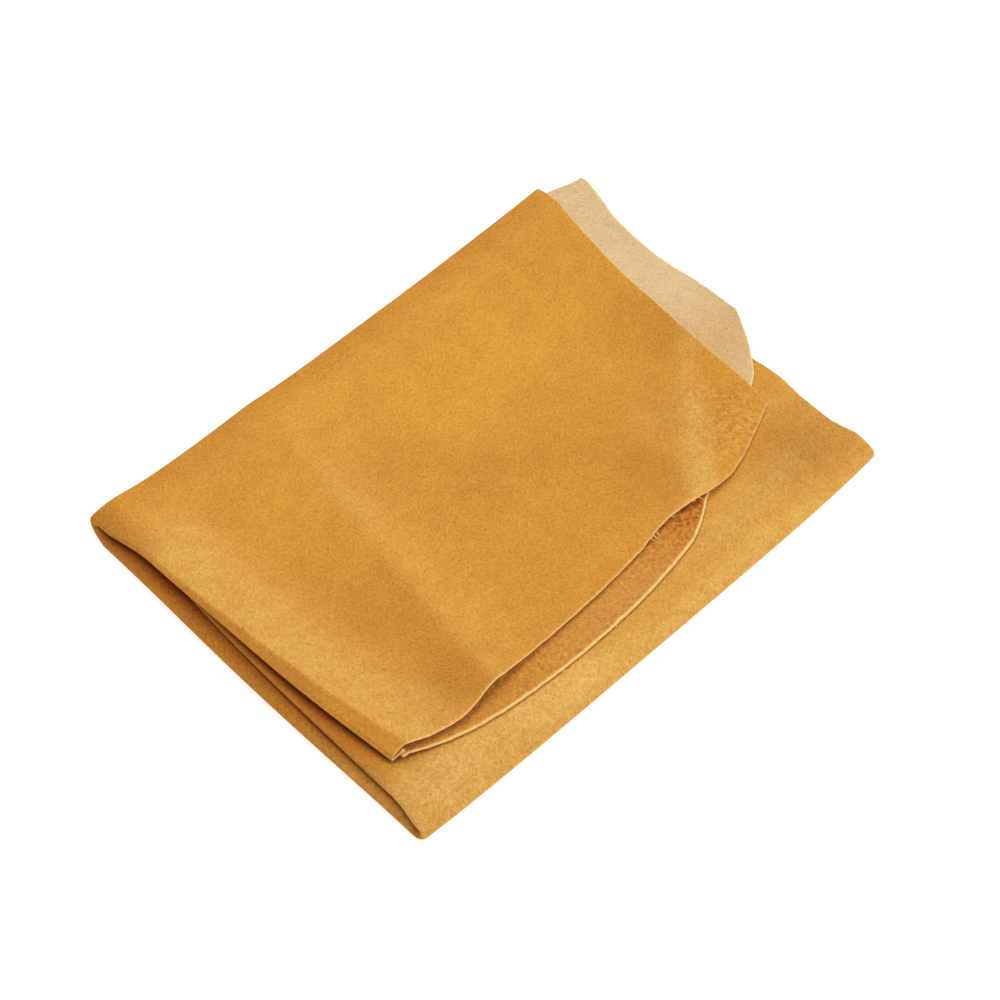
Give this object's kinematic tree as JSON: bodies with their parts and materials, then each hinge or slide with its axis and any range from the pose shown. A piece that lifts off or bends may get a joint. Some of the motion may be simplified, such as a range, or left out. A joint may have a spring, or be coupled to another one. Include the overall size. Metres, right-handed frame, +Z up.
{
  "type": "folded chamois leather",
  "caption": "Natural chamois leather for wiping and drying, a single suede hide folded in half and then in thirds into a flat packet whose flaps open out.",
  "frame": {"origin": "on the table under the middle of the base panel, midway between the near and far folds and midway between the half fold's edge and the cut ends", "axes": "+X along the two cross folds, from the half fold's edge towards the cut ends; +Y from the near fold, where the tucked flap turns in, to the far fold, where the top flap turns in; +Z up"},
  "size_m": [0.2702, 0.195, 0.0166],
  "materials": {
    "outer_suede": "golden yellow oil-tanned suede, matt, with a fine short nap and soft mottling",
    "inner_suede": "the paler side of the same suede, buff to pale beige, matt and napped"
  },
  "bodies": {
    "base": {"base_outer_leaf": "outer_suede", "base_inner_leaf": "inner_suede", "base_edge_fold": "outer_suede", "far_fold_outer_bend": "outer_suede", "far_fold_inner_bend": "inner_suede", "far_fold_edge_bend": "outer_suede", "near_fold_outer_bend": "outer_suede", "near_fold_inner_bend": "inner_suede", "near_fold_edge_bend": "outer_suede"},
    "top_flap": {"top_flap_outer_leaf": "outer_suede", "top_flap_inner_leaf": "inner_suede", "top_flap_edge_fold": "outer_suede"},
    "tucked_flap": {"tucked_flap_outer_leaf": "outer_suede", "tucked_flap_inner_leaf": "inner_suede", "tucked_flap_edge_fold": "outer_suede"}
  },
  "joints": [
    {"name": "top_flap_unfold", "type": "hinge", "parent": "base", "child": "top_flap", "pos_m": [0, 0.0965, 0.005], "axis": [-1, 0, 0], "range_deg": [0, 165], "deforming": ["far_fold_outer_bend", "far_fold_inner_bend", "far_fold_edge_bend"]},
    {"name": "tucked_flap_unfold", "type": "hinge", "parent": "base", "child": "tucked_flap", "pos_m": [0, -0.093, 0.0036], "axis": [1, 0, 0], "range_deg": [0, 41.25], "deforming": ["near_fold_outer_bend", "near_fold_inner_bend", "near_fold_edge_bend"]}
  ],
  "couplings": [
    {"joint": "tucked_flap_unfold", "follows": "top_flap_unfold", "ratio": 0.25}
  ]
}
